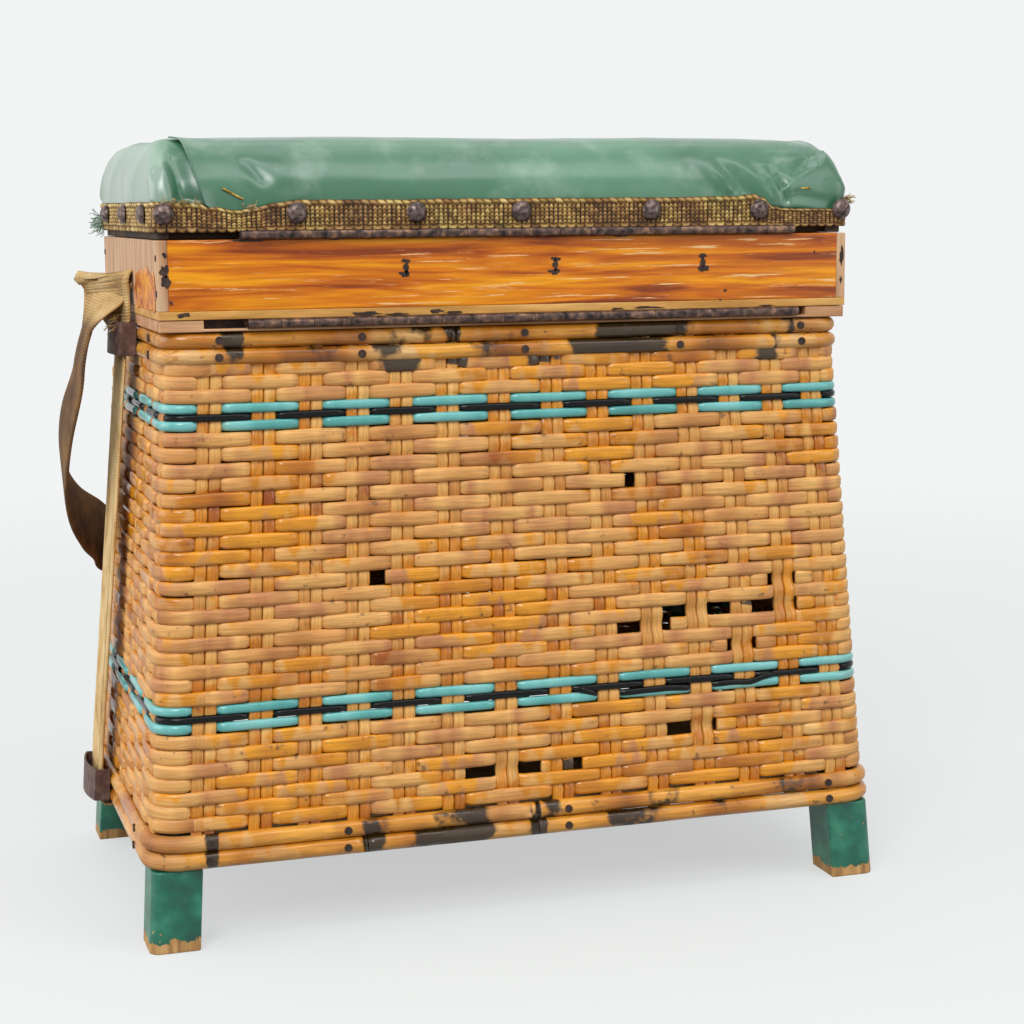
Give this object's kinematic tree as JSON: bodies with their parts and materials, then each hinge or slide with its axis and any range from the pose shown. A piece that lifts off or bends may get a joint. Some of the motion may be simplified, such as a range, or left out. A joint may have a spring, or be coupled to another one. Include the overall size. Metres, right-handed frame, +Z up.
{
  "type": "wicker fishing basket",
  "caption": "Wicker basket seat on legs with a hinged compartment tray, a hinged padded lid, metal strap keepers and a webbing carrying strap.",
  "frame": {"origin": "middle of the footprint on the floor, with the basket standing on its four feet", "axes": "+X along the basket's length, +Y towards its opening side, away from the hinges, +Z up"},
  "size_m": [0.4782, 0.2546, 0.4392],
  "materials": {
    "wicker": "natural and varnished willow cane, satin",
    "blue_cane": "turquoise dyed cane, satin",
    "black_cane": "black dyed cane, satin",
    "rim_cane": "thick peeled cane, worn varnish",
    "painted_wood": "dark green painted wood, chipped",
    "varnished_wood": "orange varnished pine, glossy",
    "plain_wood": "bare pale wood",
    "hinge_metal": "rusted brown steel",
    "nail_metal": "dull brown steel nails",
    "keeper_metal": "thin rusted steel strip",
    "brass": "tarnished brass",
    "leathercloth": "green leathercloth, soft shine",
    "padding": "cream wadding",
    "braid": "olive woven gimp",
    "webbing": "coarse tan canvas webbing"
  },
  "bodies": {
    "basket": {"wicker_walls": "wicker", "upper_blue_canes": "blue_cane", "upper_black_cane": "black_cane", "lower_blue_canes": "blue_cane", "lower_black_cane": "black_cane", "top_rim_upper": "rim_cane", "top_rim_lower": "rim_cane", "bottom_rim_upper": "rim_cane", "bottom_rim_lower": "rim_cane", "rim_nails": "nail_metal", "leg_left_hinge_side": "painted_wood", "leg_right_hinge_side": "painted_wood", "leg_left_opening_side": "painted_wood", "leg_right_opening_side": "painted_wood", "base_battens": "plain_wood", "base_planks": "plain_wood", "frame_rail_hinge_side": "varnished_wood", "frame_rail_opening_side": "varnished_wood", "frame_rail_left": "varnished_wood", "frame_rail_right": "varnished_wood", "lower_hinge_basket_leaf": "hinge_metal", "lower_hinge_pin": "hinge_metal", "upper_keeper_left": "keeper_metal", "upper_keeper_right": "keeper_metal", "lower_keeper_left": "keeper_metal", "lower_keeper_right": "keeper_metal", "keeper_nails": "nail_metal", "strap_tail_left": "webbing", "strap_tail_right": "webbing", "strap_under": "webbing", "tray_hook_pivot": "brass"},
    "tray": {"tray_floor": "plain_wood", "tray_board_hinge_side": "varnished_wood", "tray_board_opening_side": "varnished_wood", "tray_board_left": "plain_wood", "tray_board_right": "plain_wood", "tray_divider_1": "plain_wood", "tray_divider_2": "plain_wood", "tray_divider_3": "plain_wood", "tray_nails": "nail_metal", "lower_hinge_tray_leaf": "hinge_metal", "upper_hinge_tray_leaf": "hinge_metal", "upper_hinge_pin": "hinge_metal", "lid_hook_pivot": "brass", "tray_hook_catch": "brass"},
    "lid": {"lid_board": "plain_wood", "lid_padding": "padding", "lid_cover": "leathercloth", "lid_braid": "braid", "dome_nails": "nail_metal", "cover_staples": "brass", "upper_hinge_lid_leaf": "hinge_metal", "lid_hook_catch": "brass"},
    "strap": {"strap_loop": "webbing"},
    "lid_hook": {"lid_hook": "brass"},
    "tray_hook": {"tray_hook": "brass"}
  },
  "joints": [
    {"name": "tray_hinge", "type": "hinge", "parent": "basket", "child": "tray", "pos_m": [0, -0.1105, 0.3385], "axis": [1, 0, 0], "range_deg": [0, 100]},
    {"name": "lid_hinge", "type": "hinge", "parent": "tray", "child": "lid", "pos_m": [0, -0.1105, 0.3855], "axis": [1, 0, 0], "range_deg": [0, 110]},
    {"name": "strap_swing", "type": "hinge", "parent": "basket", "child": "strap", "pos_m": [0, 0, 0.358], "axis": [1, 0, 0], "range_deg": [0, 150]},
    {"name": "tray_hook_swing", "type": "hinge", "parent": "basket", "child": "tray_hook", "pos_m": [-0.04, 0.1106, 0.3376], "axis": [0, 1, 0], "range_deg": [0, 180]},
    {"name": "lid_hook_swing", "type": "hinge", "parent": "tray", "child": "lid_hook", "pos_m": [0.04, 0.11275, 0.3698], "axis": [0, 1, 0], "range_deg": [0, 180]}
  ]
}
